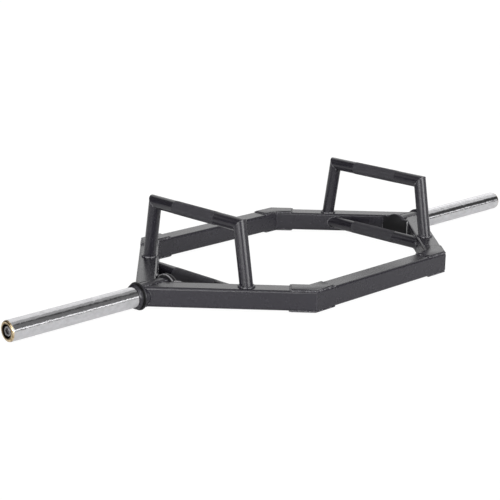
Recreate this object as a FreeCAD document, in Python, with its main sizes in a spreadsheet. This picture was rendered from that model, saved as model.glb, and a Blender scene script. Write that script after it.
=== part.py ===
# Hex trap bar: a welded hexagonal frame of square tube with grips at two heights, and at each end a
# sleeve for weight plates that turns on a fixed spindle. Millimetres. X runs along the bar, Y from front
# to back and Z up, with the origin on the floor under the middle of the frame.
import FreeCAD, Part
import os
import Sketcher

# Driving dimensions
SIZES = (
    ("frame_span", 1008, "apex to apex, on the tubes' centrelines"),
    ("rail_length", 472, "corner to corner of a rail, on its centreline"),
    ("frame_depth", 592, "front rail to back rail, on their centrelines"),
    ("tube_size", 50, "side of the frame's square tube"),
    ("tube_wall", 3, "wall of the frame's square tube"),
    ("tube_rounding", 6, "outside corner radius of the square tube"),
    ("plate_width", 40, "width of a corner plate's two legs"),
    ("plate_leg", 60, "outer edge of a corner plate's leg"),
    ("plate_thickness", 4, "thickness of a corner plate"),
    ("end_plate_setback", 74, "apex centreline to the end plate's inboard face"),
    ("end_plate_thickness", 12, "thickness of the end plate"),
    ("hump_rise", 11.5, "height of the end plate's hump over the frame"),
    ("hub_diameter", 57, "outside of the round tube through an apex"),
    ("hub_wall", 5, "wall of the round tube through an apex"),
    ("collar_reach", 39, "apex centreline to the collar's outboard face"),
    ("collar_diameter", 69, "outside of the collar's rim"),
    ("collar_thickness", 15.5, "thickness of the collar"),
    ("collar_rim_width", 3, "plain part of the collar's rim, at its inboard side"),
    ("collar_nose_diameter", 51.5, "outboard face of the collar, where its bevel starts"),
    ("collar_chamfer", 1, "broken inboard edge of the collar"),
    ("groove_width", 3, "groove round the collar's bevel"),
    ("groove_depth", 2.6, "groove round the collar's bevel"),
    ("groove_place_share", 0.45, "how far along the bevel the groove is"),
    ("spindle_diameter", 25, "bar that the sleeve turns on"),
    ("sleeve_reach", 361, "collar face to the bar's end"),
    ("sleeve_diameter", 50, "outside of the sleeve"),
    ("sleeve_wall", 4, "wall of the sleeve"),
    ("sleeve_chamfer", 0.8, "broken edges of the sleeve"),
    ("thrust_washer_diameter", 46, "outside of the washer between collar and sleeve"),
    ("thrust_washer_thickness", 1, "thickness of the washer between collar and sleeve"),
    ("bush_length", 40, "length of a bush inside the sleeve"),
    ("bush_flange_diameter", 49, "outside of the outer bush's flange"),
    ("bush_flange_thickness", 4, "thickness of the outer bush's flange"),
    ("bush_chamfer", 3, "bevel round the outer bush's flange"),
    ("bush_recess", 14, "depth of the outer bush's recess for washer and bolt head"),
    ("end_washer_diameter", 30, "outside of the washer under the end bolt"),
    ("end_washer_thickness", 3, "thickness of the washer under the end bolt"),
    ("bolt_diameter", 16, "shank of the end bolt"),
    ("bolt_length", 40, "length of the end bolt under its head"),
    ("bolt_head_diameter", 24, "head of the end bolt"),
    ("bolt_head_height", 9, "height of the end bolt's head"),
    ("bolt_head_chamfer", 1, "broken edge of the end bolt's head"),
    ("socket_width", 12, "across the flats of the bolt's hexagon socket"),
    ("socket_depth", 6, "depth of the bolt's hexagon socket"),
    ("grip_place_share", 0.536, "where the grips are between a rail's corner and the end plate"),
    ("grip_rise", 172, "bar axis to the axis of a raised grip"),
    ("grip_span", 305, "post to post at the level of a raised grip's axis"),
    ("grip_diameter", 33, "outside of the grips and posts"),
    ("grip_wall", 4, "wall of the grips and posts"),
    ("knurl_diameter", 34, "crests of the knurled band in the middle of a grip"),
    ("knurl_length", 150, "length of the knurled band in the middle of a grip"),
    ("running_clearance", 0.05, "radial, between the spindle and what turns on it"),
    ("fixed_clearance", 0.1, "radial, between round pieces that are fixed together"),
    ("recess_clearance", 0.5, "radial, between the end washer and its recess"),
    ("end_play", 0.3, "axial, at each end of the sleeve"),
    ("cut_overrun", 10, "how far a cutting outline passes the piece that it cuts"),
)

# Places along the bar's axis, from the middle outwards
COLLAR_FACE = "(Sizes.frame_span / 2 + Sizes.collar_reach)"
COLLAR_BACK = f"({COLLAR_FACE} - Sizes.collar_thickness)"
END_PLATE_INNER = "(Sizes.frame_span / 2 - Sizes.end_plate_setback)"
END_PLATE_OUTER = f"({END_PLATE_INNER} + Sizes.end_plate_thickness)"
WASHER_FACE = f"({COLLAR_FACE} + Sizes.thrust_washer_thickness)"
SLEEVE_START = f"({WASHER_FACE} + Sizes.end_play)"
BAR_END = f"({COLLAR_FACE} + Sizes.sleeve_reach)"
SLEEVE_END = f"({BAR_END} - Sizes.bush_flange_thickness)"
RECESS_FLOOR = f"({BAR_END} - Sizes.bush_recess)"
SPINDLE_END = f"({RECESS_FLOOR} + Sizes.end_play)"
BOLT_SEAT = f"({SPINDLE_END} + Sizes.end_washer_thickness)"
BOLT_TOP = f"({BOLT_SEAT} + Sizes.bolt_head_height)"
BOLT_TIP = f"({BOLT_SEAT} - Sizes.bolt_length)"

# Radii about the bar's axis
AXIS = "0"
SPINDLE_RADIUS = "(Sizes.spindle_diameter / 2)"
BEARING_RADIUS = f"({SPINDLE_RADIUS} + Sizes.running_clearance)"
FIXED_RADIUS = f"({SPINDLE_RADIUS} + Sizes.fixed_clearance)"
HUB_RADIUS = "(Sizes.hub_diameter / 2)"
COLLAR_RADIUS = "(Sizes.collar_diameter / 2)"
NOSE_RADIUS = "(Sizes.collar_nose_diameter / 2)"
SLEEVE_RADIUS = "(Sizes.sleeve_diameter / 2)"
SLEEVE_BORE_RADIUS = f"({SLEEVE_RADIUS} - Sizes.sleeve_wall)"
BUSH_RADIUS = f"({SLEEVE_BORE_RADIUS} - Sizes.fixed_clearance)"
BUSH_FLANGE_RADIUS = "(Sizes.bush_flange_diameter / 2)"
END_WASHER_RADIUS = "(Sizes.end_washer_diameter / 2)"
BOLT_RADIUS = "(Sizes.bolt_diameter / 2)"
THREAD_RADIUS = f"({BOLT_RADIUS} + Sizes.fixed_clearance)"
BOLT_HEAD_RADIUS = "(Sizes.bolt_head_diameter / 2)"
HUMP_RADIUS = "(Sizes.tube_size / 2 + Sizes.hump_rise)"

# The frame in plan: the slanted arms' angle to the bar and half the tube's and plates' widths
ARM_ANGLE = "atan(Sizes.frame_depth / (Sizes.frame_span - Sizes.rail_length))"
HALF_TUBE = "(Sizes.tube_size / 2)"
HALF_CAVITY = f"({HALF_TUBE} - Sizes.tube_wall)"
HALF_PLATE = "(Sizes.plate_width / 2)"
OVERRUN = "Sizes.cut_overrun"
AXIS_HEIGHT = COLLAR_RADIUS

# The grips: a post's axis starts on its arm's centreline and leans inwards to the raised grip's end
RAIL_END = "Sizes.rail_length / 2"
GRIP_X = f"({RAIL_END} + ({END_PLATE_INNER} - {RAIL_END}) * Sizes.grip_place_share)"
GRIP_RADIUS = "(Sizes.grip_diameter / 2)"
GRIP_BORE = "(Sizes.grip_diameter - 2 * Sizes.grip_wall)"
GRIP_END = "(Sizes.grip_span / 2)"
POST_START = f"((Sizes.frame_span / 2 - {GRIP_X}) * tan({ARM_ANGLE}))"
LEAN = f"atan(({POST_START} - {GRIP_END}) / Sizes.grip_rise)"
MITRE_SLOPE = f"tan(45 deg - {LEAN} / 2)"

START, END, CENTRE = 1, 2, 3
ORIGIN_POINT = (-1, 1)
HORIZONTAL, VERTICAL = -1, -2
SIDES = (("left", -1), ("right", 1))
EDGES = (("front", -1), ("back", 1))
FACES = (("bottom", -1), ("top", 1))

document = FreeCAD.newDocument("hex_trap_bar")
sheet = document.addObject("Spreadsheet::Sheet", "Sizes")
for row, (alias, amount, meaning) in enumerate(SIZES, 1):
    sheet.set(f"A{row}", alias)
    sheet.set(f"B{row}", str(amount))
    sheet.set(f"C{row}", meaning)
    sheet.setAlias(f"B{row}", alias)
document.recompute()


def value(expression):
    """The number that an expression has now."""
    return float(sheet.evalExpression(expression))


def signed(sign, expression):
    return f"{sign} * ({expression})"


def new_body(label, turned=False, x=None, y=None, rise=None):
    """An empty body at the bar axis's height; a turned one faces the other way along the bar."""
    body = document.addObject("PartDesign::Body", label)
    body.Label = label
    if turned:
        body.Placement = FreeCAD.Placement(FreeCAD.Vector(), FreeCAD.Rotation(FreeCAD.Vector(0, 0, 1), 180))
    if x:
        body.setExpression("Placement.Base.x", x)
    if y:
        body.setExpression("Placement.Base.y", y)
    body.setExpression("Placement.Base.z", f"{AXIS_HEIGHT} + {rise}" if rise else AXIS_HEIGHT)
    return body


def new_sketch(body, name, role, offset=None):
    """An empty sketch on one of the body's own origin planes, or parallel to it."""
    sketch = body.newObject("Sketcher::SketchObject", f"{body.Name}_{name}")
    plane = next(feature for feature in body.Origin.OriginFeatures if feature.Role == role)
    sketch.AttachmentSupport = (plane, "")
    sketch.MapMode = "FlatFace"
    if offset:
        sketch.setExpression("AttachmentOffset.Base.z", offset)
    return sketch


def hold(sketch, kind, expression, *where):
    """Add a dimension that follows an expression."""
    number = sketch.addConstraint(Sketcher.Constraint(kind, *where, value(expression)))
    sketch.setExpression(f"Constraints[{number}]", expression)


def draw_outline(sketch, corners):
    """A closed outline of straight lines whose corners are pairs of expressions."""
    first = sketch.GeometryCount
    count = len(corners)
    points = [FreeCAD.Vector(value(x), value(y), 0) for x, y in corners]
    for index in range(count):
        sketch.addGeometry(Part.LineSegment(points[index], points[(index + 1) % count]), False)
    for index in range(count):
        following = first + (index + 1) % count
        sketch.addConstraint(Sketcher.Constraint("Coincident", first + index, END, following, START))
    for index, pair in enumerate(corners):
        for kind, expression, line in zip(("DistanceX", "DistanceY"), pair, (VERTICAL, HORIZONTAL)):
            if expression == AXIS:
                sketch.addConstraint(Sketcher.Constraint("PointOnObject", first + index, START, line))
            else:
                hold(sketch, kind, expression, *ORIGIN_POINT, first + index, START)


def draw_circle(sketch, diameter):
    circle = Part.Circle(FreeCAD.Vector(), FreeCAD.Vector(0, 0, 1), value(diameter) / 2)
    number = sketch.addGeometry(circle, False)
    sketch.addConstraint(Sketcher.Constraint("Coincident", number, CENTRE, *ORIGIN_POINT))
    hold(sketch, "Diameter", diameter, number)


def pad(body, sketch, length, side="Symmetric", reversed=False):
    feature = body.newObject("PartDesign::Pad", f"{sketch.Name}_pad")
    feature.Profile = sketch
    feature.SideType = side
    feature.Reversed = reversed
    feature.setExpression("Length", length)
    document.recompute()
    return feature


def cut(body, sketch, length=None, side="Symmetric"):
    """Cut a sketch's outlines out of the body, right through it or to a length."""
    before = body.Shape.Volume
    feature = body.newObject("PartDesign::Pocket", f"{sketch.Name}_cut")
    feature.Profile = sketch
    feature.SideType = side
    if length:
        feature.setExpression("Length", length)
    else:
        feature.Type = "ThroughAll"
    document.recompute()
    if body.Shape.Volume >= before:
        raise RuntimeError(f"{sketch.Name} cuts nothing")


def turn(label, turned, corners):
    """A piece turned about the bar's axis, from its half outline of (place, radius) pairs."""
    body = new_body(label, turned)
    sketch = new_sketch(body, "half", "XZ_Plane")
    draw_outline(sketch, corners)
    feature = body.newObject("PartDesign::Revolution", f"{label}_turned")
    feature.Profile = sketch
    feature.ReferenceAxis = (sketch, ["H_Axis"])
    document.recompute()
    return body


def ring(start, end, inner, outer):
    return ((start, inner), (end, inner), (end, outer), (start, outer))


def apex_x(offset):
    """Where the line along an arm, offset outwards from its centreline, meets the bar's axis."""
    return f"(Sizes.frame_span / 2 + ({offset}) / sin({ARM_ANGLE}))"


def corner(offset, along_rail="0", along_arm="0"):
    """A corner of the hexagon offset outwards, moved along its rail or its arm."""
    start = f"Sizes.rail_length / 2 + ({offset}) * tan({ARM_ANGLE} / 2)"
    x = f"{start} - {along_rail} + {along_arm} * cos({ARM_ANGLE})"
    y = f"Sizes.frame_depth / 2 + ({offset}) - {along_arm} * sin({ARM_ANGLE})"
    return x, y


def placed(side, edge, points):
    """Points of the back right quarter, moved to the quarter with these signs."""
    return [(x if x == AXIS else signed(side, x), y if y == AXIS else signed(edge, y)) for x, y in points]


def round_long_edges(body, base, direction):
    """Round a tube's four long edges, which run in the given direction."""
    names = []
    for number, edge in enumerate(base.Shape.Edges, 1):
        if edge.tangentAt(edge.FirstParameter).cross(direction).Length < edge.Tolerance:
            names.append(f"Edge{number}")
    rounding = body.newObject("PartDesign::Fillet", f"{body.Name}_rounding")
    rounding.Base = (base, names)
    rounding.setExpression("Radius", "Sizes.tube_rounding")
    document.recompute()


def make_rail(label, edge):
    """A rail of the hexagon, mitred at both corners."""
    body = new_body(label)
    ends = [corner(HALF_TUBE), corner(f"-{HALF_TUBE}")]
    plan = placed(1, edge, ends) + placed(-1, edge, reversed(ends))
    sketch = new_sketch(body, "plan", "XY_Plane")
    draw_outline(sketch, plan)
    solid = pad(body, sketch, "Sizes.tube_size")
    round_long_edges(body, solid, FreeCAD.Vector(1, 0, 0))
    past = f"({corner(HALF_TUBE)[0]} + {OVERRUN})"
    inside = [(past, corner(HALF_CAVITY)[1]), (past, corner(f"-{HALF_CAVITY}")[1])]
    cavity = new_sketch(body, "cavity", "XY_Plane")
    draw_outline(cavity, placed(1, edge, inside) + placed(-1, edge, reversed(inside)))
    cut(body, cavity, f"2 * {HALF_CAVITY}")


def make_arm(label, side, edge):
    """A slanted arm, mitred at its corner and coped round the hub tube at the apex."""
    body = new_body(label)
    sketch = new_sketch(body, "plan", "XY_Plane")
    outer_line = ((apex_x(HALF_TUBE), AXIS), corner(HALF_TUBE))
    inner_line = (corner(f"-{HALF_TUBE}"), (apex_x(f"-{HALF_TUBE}"), AXIS))
    draw_outline(sketch, placed(side, edge, outer_line + inner_line))
    solid = pad(body, sketch, "Sizes.tube_size")
    angle = value(ARM_ANGLE)
    turned = FreeCAD.Rotation(FreeCAD.Vector(0, 0, -side * edge), angle)
    round_long_edges(body, solid, turned.multVec(FreeCAD.Vector(1, 0, 0)))
    inside = []
    for offset in (HALF_CAVITY, f"-{HALF_CAVITY}"):
        past_apex = (f"{apex_x(offset)} + {OVERRUN} * cos({ARM_ANGLE})", f"-{OVERRUN} * sin({ARM_ANGLE})")
        inside.append((past_apex, corner(offset, along_arm=f"(-{OVERRUN})")))
    outline = (inside[0][0], inside[0][1], inside[1][1], inside[1][0])
    cavity = new_sketch(body, "cavity", "XY_Plane")
    draw_outline(cavity, placed(side, edge, outline))
    cut(body, cavity, f"2 * {HALF_CAVITY}")
    cope = new_sketch(body, "cope", "YZ_Plane")
    draw_circle(cope, "Sizes.hub_diameter + 2 * Sizes.fixed_clearance")
    cut(body, cope)


def make_corner_plate(label, side, edge, face):
    """A chevron plate welded flat on the top or bottom of a corner, with square-cut ends."""
    body = new_body(label)
    inward_x = f"- Sizes.plate_width * sin({ARM_ANGLE})"
    inward_y = f"- Sizes.plate_width * cos({ARM_ANGLE})"
    rail_end_x = corner(HALF_PLATE, along_rail="Sizes.plate_leg")[0]
    arm_end_x, arm_end_y = corner(HALF_PLATE, along_arm="Sizes.plate_leg")
    outline = (
        corner(HALF_PLATE),
        (arm_end_x, arm_end_y),
        (f"{arm_end_x} {inward_x}", f"{arm_end_y} {inward_y}"),
        corner(f"-{HALF_PLATE}"),
        (rail_end_x, corner(f"-{HALF_PLATE}")[1]),
        (rail_end_x, corner(HALF_PLATE)[1]),
    )
    sketch = new_sketch(body, "plan", "XY_Plane", signed(face, HALF_TUBE))
    draw_outline(sketch, placed(side, edge, outline))
    pad(body, sketch, "Sizes.plate_thickness", "One side", reversed=face < 0)


def make_end_plate(label, turned):
    """The upright plate across an apex, bevelled to the arms, with a round hump on top."""
    body = new_body(label, turned)
    corners = []
    for place in (END_PLATE_INNER, END_PLATE_OUTER):
        half_width = f"({apex_x(f'-{HALF_TUBE}')} - {place}) * tan({ARM_ANGLE})"
        corners.append((place, half_width))
    sketch = new_sketch(body, "plan", "XY_Plane")
    draw_outline(sketch, placed(1, 1, corners) + placed(1, -1, reversed(corners)))
    pad(body, sketch, "Sizes.tube_size")
    hump = new_sketch(body, "hump", "YZ_Plane", END_PLATE_INNER)
    radius, level = value(HUMP_RADIUS), value(HALF_TUBE)
    half_chord = (radius ** 2 - level ** 2) ** 0.5
    ends = (FreeCAD.Vector(-half_chord, level, 0), FreeCAD.Vector(half_chord, level, 0))
    chord = hump.addGeometry(Part.LineSegment(*ends), False)
    crown = hump.addGeometry(Part.Arc(ends[1], FreeCAD.Vector(0, radius, 0), ends[0]), False)
    hump.addConstraint(Sketcher.Constraint("Coincident", chord, END, crown, START))
    hump.addConstraint(Sketcher.Constraint("Coincident", crown, END, chord, START))
    hump.addConstraint(Sketcher.Constraint("Coincident", crown, CENTRE, *ORIGIN_POINT))
    hump.addConstraint(Sketcher.Constraint("Horizontal", chord))
    hold(hump, "DistanceY", HALF_TUBE, *ORIGIN_POINT, chord, START)
    hold(hump, "Radius", HUMP_RADIUS, crown)
    pad(body, hump, "Sizes.end_plate_thickness", "One side")


def make_collar(label, turned):
    """The ring that stops the weight plates: a bevel with a groove round it, and a plain rim."""
    chamfer = "Sizes.collar_chamfer"
    bevel = "(Sizes.collar_thickness - Sizes.collar_rim_width)"
    slope = f"(({COLLAR_RADIUS} - {NOSE_RADIUS}) / {bevel})"
    groove = f"({bevel} * Sizes.groove_place_share)"
    outer_lip = f"({groove} - Sizes.groove_width / 2)"
    inner_lip = f"({groove} + Sizes.groove_width / 2)"
    turn(label, turned, (
        (COLLAR_BACK, FIXED_RADIUS),
        (COLLAR_FACE, FIXED_RADIUS),
        (COLLAR_FACE, NOSE_RADIUS),
        (f"{COLLAR_FACE} - {outer_lip}", f"{NOSE_RADIUS} + {outer_lip} * {slope}"),
        (f"{COLLAR_FACE} - {groove}", f"{NOSE_RADIUS} + {groove} * {slope} - Sizes.groove_depth"),
        (f"{COLLAR_FACE} - {inner_lip}", f"{NOSE_RADIUS} + {inner_lip} * {slope}"),
        (f"{COLLAR_FACE} - {bevel}", COLLAR_RADIUS),
        (f"{COLLAR_BACK} + {chamfer}", COLLAR_RADIUS),
        (COLLAR_BACK, f"{COLLAR_RADIUS} - {chamfer}"),
    ))


def make_spindle(label, turned):
    """The fixed bar that the sleeve turns on, with a tapped hole in its outer end."""
    turn(label, turned, (
        (END_PLATE_OUTER, AXIS),
        (f"{BOLT_TIP} - {OVERRUN}", AXIS),
        (f"{BOLT_TIP} - {OVERRUN}", THREAD_RADIUS),
        (SPINDLE_END, THREAD_RADIUS),
        (SPINDLE_END, SPINDLE_RADIUS),
        (END_PLATE_OUTER, SPINDLE_RADIUS),
    ))


def make_sleeve(label, turned):
    """The tube that carries the weight plates, with both outer edges broken."""
    chamfer = "Sizes.sleeve_chamfer"
    turn(label, turned, (
        (SLEEVE_START, SLEEVE_BORE_RADIUS),
        (SLEEVE_END, SLEEVE_BORE_RADIUS),
        (SLEEVE_END, f"{SLEEVE_RADIUS} - {chamfer}"),
        (f"{SLEEVE_END} - {chamfer}", SLEEVE_RADIUS),
        (f"{SLEEVE_START} + {chamfer}", SLEEVE_RADIUS),
        (SLEEVE_START, f"{SLEEVE_RADIUS} - {chamfer}"),
    ))


def make_outer_bush(label, turned):
    """The flanged bush that closes the sleeve, with a recess for the end washer and bolt head."""
    recess_radius = f"({END_WASHER_RADIUS} + Sizes.recess_clearance)"
    chamfer = "Sizes.bush_chamfer"
    inner_end = f"({SLEEVE_END} - Sizes.bush_length)"
    turn(label, turned, (
        (inner_end, BEARING_RADIUS),
        (RECESS_FLOOR, BEARING_RADIUS),
        (RECESS_FLOOR, recess_radius),
        (BAR_END, recess_radius),
        (BAR_END, f"{BUSH_FLANGE_RADIUS} - {chamfer}"),
        (f"{BAR_END} - {chamfer}", BUSH_FLANGE_RADIUS),
        (SLEEVE_END, BUSH_FLANGE_RADIUS),
        (SLEEVE_END, BUSH_RADIUS),
        (inner_end, BUSH_RADIUS),
    ))


def make_end_bolt(label, turned):
    """The socket-head bolt in the spindle's end."""
    chamfer = "Sizes.bolt_head_chamfer"
    body = turn(label, turned, (
        (BOLT_TIP, AXIS),
        (BOLT_TOP, AXIS),
        (BOLT_TOP, f"{BOLT_HEAD_RADIUS} - {chamfer}"),
        (f"{BOLT_TOP} - {chamfer}", BOLT_HEAD_RADIUS),
        (BOLT_SEAT, BOLT_HEAD_RADIUS),
        (BOLT_SEAT, BOLT_RADIUS),
        (BOLT_TIP, BOLT_RADIUS),
    ))
    socket = new_sketch(body, "socket", "YZ_Plane", BOLT_TOP)
    reach = "Sizes.socket_width / sqrt(3)"
    angles = [f"{30 + 60 * number} deg" for number in range(6)]
    draw_outline(socket, [(f"{reach} * cos({angle})", f"{reach} * sin({angle})") for angle in angles])
    cut(body, socket, "Sizes.socket_depth", "One side")


def draw_tube_section(sketch):
    draw_circle(sketch, "Sizes.grip_diameter")
    draw_circle(sketch, GRIP_BORE)


def add_knurled_band(body):
    """The thicker band in the middle of a grip, as high as the crests of its knurl."""
    band = new_sketch(body, "band", "XZ_Plane")
    draw_circle(band, "Sizes.knurl_diameter")
    draw_circle(band, GRIP_BORE)
    pad(body, band, "Sizes.knurl_length")


def make_raised_grip(label, side):
    """The upper grip of one side, mitred to its two posts."""
    body = new_body(label, x=signed(side, GRIP_X), rise="Sizes.grip_rise")
    section = new_sketch(body, "section", "XZ_Plane")
    draw_tube_section(section)
    pad(body, section, f"2 * ({GRIP_END} + {GRIP_RADIUS} * {MITRE_SLOPE})")
    depth = f"({GRIP_RADIUS} + {OVERRUN})"
    low = (f"{GRIP_END} - {depth} * {MITRE_SLOPE}", f"-{depth}")
    high = (f"{GRIP_END} + {depth} * {MITRE_SLOPE}", depth)
    beyond = f"{high[0]} + {OVERRUN}"
    mitres = new_sketch(body, "mitres", "YZ_Plane")
    for edge in (-1, 1):
        draw_outline(mitres, placed(edge, 1, (low, high, (beyond, high[1]), (beyond, low[1]))))
    cut(body, mitres)
    add_knurled_band(body)


def make_post(label, side, edge):
    """A post from the top of an arm up to a raised grip's end, cut flat below and mitred above."""
    body = new_body(label, x=signed(side, GRIP_X), y=signed(edge, GRIP_END), rise="Sizes.grip_rise")
    body.Placement.Rotation = FreeCAD.Rotation(FreeCAD.Vector(edge, 0, 0), value(LEAN))
    body.setExpression("Placement.Rotation.Angle", LEAN)
    foot = f"((Sizes.grip_rise - {HALF_TUBE}) / cos({LEAN}))"
    reach = f"({foot} + {GRIP_RADIUS} * tan({LEAN}))"
    section = new_sketch(body, "section", "XY_Plane")
    draw_tube_section(section)
    pad(body, section, f"2 * {reach}")
    width = f"({GRIP_RADIUS} + {OVERRUN})"
    above = f"{reach} + {OVERRUN}"
    below = f"-{reach} - {OVERRUN}"
    mitre = ((f"-{width}", f"-{width} * {MITRE_SLOPE}"), (width, f"{width} * {MITRE_SLOPE}"))
    floor = ((f"-{width}", f"-{foot} + {width} * tan({LEAN})"), (width, f"-{foot} - {width} * tan({LEAN})"))
    ends = new_sketch(body, "ends", "YZ_Plane")
    for line, level in ((mitre, above), (floor, below)):
        draw_outline(ends, placed(edge, 1, (line[0], line[1], (line[1][0], level), (line[0][0], level))))
    cut(body, ends)


def make_low_grip(label, side):
    """The lower grip of one side, cut to the inner faces of the two arms between which it runs."""
    body = new_body(label, turned=side < 0, x=signed(side, GRIP_X))
    width = f"({GRIP_RADIUS} + {OVERRUN})"
    to_apex = f"({apex_x(f'-{HALF_TUBE}')} - {GRIP_X})"
    near = (f"-{width}", f"({to_apex} + {width}) * tan({ARM_ANGLE})")
    far = (width, f"({to_apex} - {width}) * tan({ARM_ANGLE})")
    section = new_sketch(body, "section", "XZ_Plane")
    draw_tube_section(section)
    pad(body, section, f"2 * ({to_apex} + {GRIP_RADIUS}) * tan({ARM_ANGLE})")
    beyond = f"{near[1]} + {OVERRUN}"
    ends = new_sketch(body, "ends", "XY_Plane")
    for edge in (-1, 1):
        draw_outline(ends, placed(1, edge, (near, far, (far[0], beyond), (near[0], beyond))))
    cut(body, ends)
    add_knurled_band(body)


for edge_name, edge_sign in EDGES:
    make_rail(f"{edge_name}_rail", edge_sign)
    for side_name, side_sign in SIDES:
        make_arm(f"{edge_name}_{side_name}_arm", side_sign, edge_sign)
        make_post(f"{edge_name}_{side_name}_post", side_sign, edge_sign)
        for face_name, face_sign in FACES:
            plate_label = f"{edge_name}_{side_name}_{face_name}_plate"
            make_corner_plate(plate_label, side_sign, edge_sign, face_sign)

for side_name, side_sign in SIDES:
    is_turned = side_sign < 0
    make_raised_grip(f"{side_name}_raised_grip", side_sign)
    make_low_grip(f"{side_name}_low_grip", side_sign)
    make_end_plate(f"{side_name}_end_plate", is_turned)
    hub_outline = ring(END_PLATE_OUTER, COLLAR_BACK, f"{HUB_RADIUS} - Sizes.hub_wall", HUB_RADIUS)
    turn(f"{side_name}_hub_tube", is_turned, hub_outline)
    make_collar(f"{side_name}_collar", is_turned)
    make_spindle(f"{side_name}_spindle", is_turned)
    thrust_outline = ring(COLLAR_FACE, WASHER_FACE, FIXED_RADIUS, "Sizes.thrust_washer_diameter / 2")
    turn(f"{side_name}_thrust_washer", is_turned, thrust_outline)
    make_sleeve(f"{side_name}_sleeve", is_turned)
    inner_bush_end = f"{SLEEVE_START} + Sizes.bush_length"
    bush_outline = ring(SLEEVE_START, inner_bush_end, BEARING_RADIUS, BUSH_RADIUS)
    turn(f"{side_name}_inner_bush", is_turned, bush_outline)
    make_outer_bush(f"{side_name}_outer_bush", is_turned)
    end_washer_outline = ring(SPINDLE_END, BOLT_SEAT, THREAD_RADIUS, END_WASHER_RADIUS)
    turn(f"{side_name}_end_washer", is_turned, end_washer_outline)
    make_end_bolt(f"{side_name}_end_bolt", is_turned)

document.recompute()
failed = [item.Name for item in document.Objects if {"Invalid", "Error"} & set(item.State)]
bodies = [item for item in document.Objects if item.TypeId == "PartDesign::Body"]
failed += [body.Label for body in bodies if body.Shape.isNull() or not body.Shape.isValid()]
failed += [body.Label for body in bodies if len(body.Shape.Solids) != 1]
if failed:
    raise RuntimeError("failed: " + ", ".join(failed))

os.makedirs("parts", exist_ok=True)
for body in bodies:
    body.Shape.exportStep(f"parts/{body.Label}.step")
print(len(bodies), "parts written")
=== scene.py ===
import math
import random

import bpy
from mathutils import Matrix, Vector


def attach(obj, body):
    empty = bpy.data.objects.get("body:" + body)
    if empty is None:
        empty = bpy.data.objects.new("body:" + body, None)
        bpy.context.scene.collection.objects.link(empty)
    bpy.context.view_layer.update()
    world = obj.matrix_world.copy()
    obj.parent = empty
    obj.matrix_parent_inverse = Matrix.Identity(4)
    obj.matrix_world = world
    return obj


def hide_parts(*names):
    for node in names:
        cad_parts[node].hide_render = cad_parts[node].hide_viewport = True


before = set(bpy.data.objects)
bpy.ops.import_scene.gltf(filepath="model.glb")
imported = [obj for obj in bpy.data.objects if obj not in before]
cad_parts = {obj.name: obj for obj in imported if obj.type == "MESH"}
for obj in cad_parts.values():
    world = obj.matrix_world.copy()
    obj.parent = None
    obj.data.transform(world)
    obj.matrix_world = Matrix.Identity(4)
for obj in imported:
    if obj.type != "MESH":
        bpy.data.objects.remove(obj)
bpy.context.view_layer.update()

# Sizes in millimetres, the same as in the solids. Meshes are made in millimetres and scaled at the end.
MM = 0.001
AXIS_Z = 34.5
SPAN = 1008.0
RAIL = 472.0
DEPTH = 592.0
HALF_TUBE = 25.0
PLATE_HALF = 20.0
PLATE_LEG = 60.0
PLATE_THICK = 4.0
END_PLATE_IN = 430.0
END_PLATE_OUT = 442.0
HUMP_R = 36.5
HUB_R = 28.5
COLLAR_BACK = 527.5
GRIP_PLACE_SHARE = 0.536
GRIP_R = 16.5
GRIP_RISE = 172.0
GRIP_HALF = 152.5
KNURL_R = 16.96

# Places and angles that follow from them
GRIP_X = RAIL / 2 + (END_PLATE_IN - RAIL / 2) * GRIP_PLACE_SHARE
GRIP_TOP = AXIS_Z + GRIP_RISE + KNURL_R
ARM = math.atan2(DEPTH, SPAN - RAIL)
SIN = math.sin(ARM)
COS = math.cos(ARM)
TAN = math.tan(ARM)
POST_Y = (SPAN / 2 - GRIP_X) * TAN
LEAN = math.atan2(POST_Y - GRIP_HALF, GRIP_RISE)
MITRE = math.tan(math.pi / 4 - LEAN / 2)
INNER_APEX = SPAN / 2 - HALF_TUBE / SIN
OUTER_APEX = SPAN / 2 + HALF_TUBE / SIN
SIDES = (("left", -1), ("right", 1))
EDGES = (("front", -1), ("back", 1))
FACES = (("bottom", -1), ("top", 1))


# Materials

# Scales are in features per metre, heights in metres.
CLOUD_SCALE = 14
GLOSS_SCALE = 40
GRAIN_SCALE = 900
GRAIN_HEIGHT = 0.0002
# Lighter specks on the weld beads are painted highlights: their noise scale and the noise values over which
# they come in.
WELD_SPECK_SCALE = 230
WELD_SPECK_LOW = 0.52
WELD_SPECK_HIGH = 0.64
WELD_GRAIN_SCALE = 500
METAL_SPECK_SCALE = 420
METAL_SPECK_HIGH = 0.75
METAL_HEIGHT = 0.0003
# Painted shade in the brass flange's recess: its colour, and over how many millimetres it fades in.
RECESS_SHADE_COLOUR = (0.035, 0.024, 0.012)
RECESS_SHADE_FADE = 1.6

# Most of a noise lies between these values.
NOISE_LOW = 0.3
NOISE_HIGH = 0.7
NOISE_MIDDLE = 0.5

RANGE_SOCKETS = ("From Min", "From Max", "To Min", "To Max")
MIX_FIRST = 6
MIX_SECOND = 7
MIX_COLOUR = 2


def new_material(name):
    """A fresh node material, its tree and its Principled shader."""
    material = bpy.data.materials.new(name)
    material.use_nodes = True
    tree = material.node_tree
    return material, tree, tree.nodes["Principled BSDF"]


def add_node(tree, kind, **settings):
    """A new node with settings given to its sockets, or else to its own properties."""
    node = tree.nodes.new(kind)
    for key, setting in settings.items():
        if key in node.inputs:
            node.inputs[key].default_value = setting
        else:
            setattr(node, key, setting)
    return node


def object_coordinates(tree, stretch=(1, 1, 1)):
    """Object coordinates, stretched; the pieces lie in the row frame, so these are metres there."""
    source = add_node(tree, "ShaderNodeTexCoord")
    mapping = add_node(tree, "ShaderNodeMapping")
    mapping.inputs["Scale"].default_value = stretch
    tree.links.new(source.outputs["Object"], mapping.inputs["Vector"])
    return mapping.outputs["Vector"]


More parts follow.
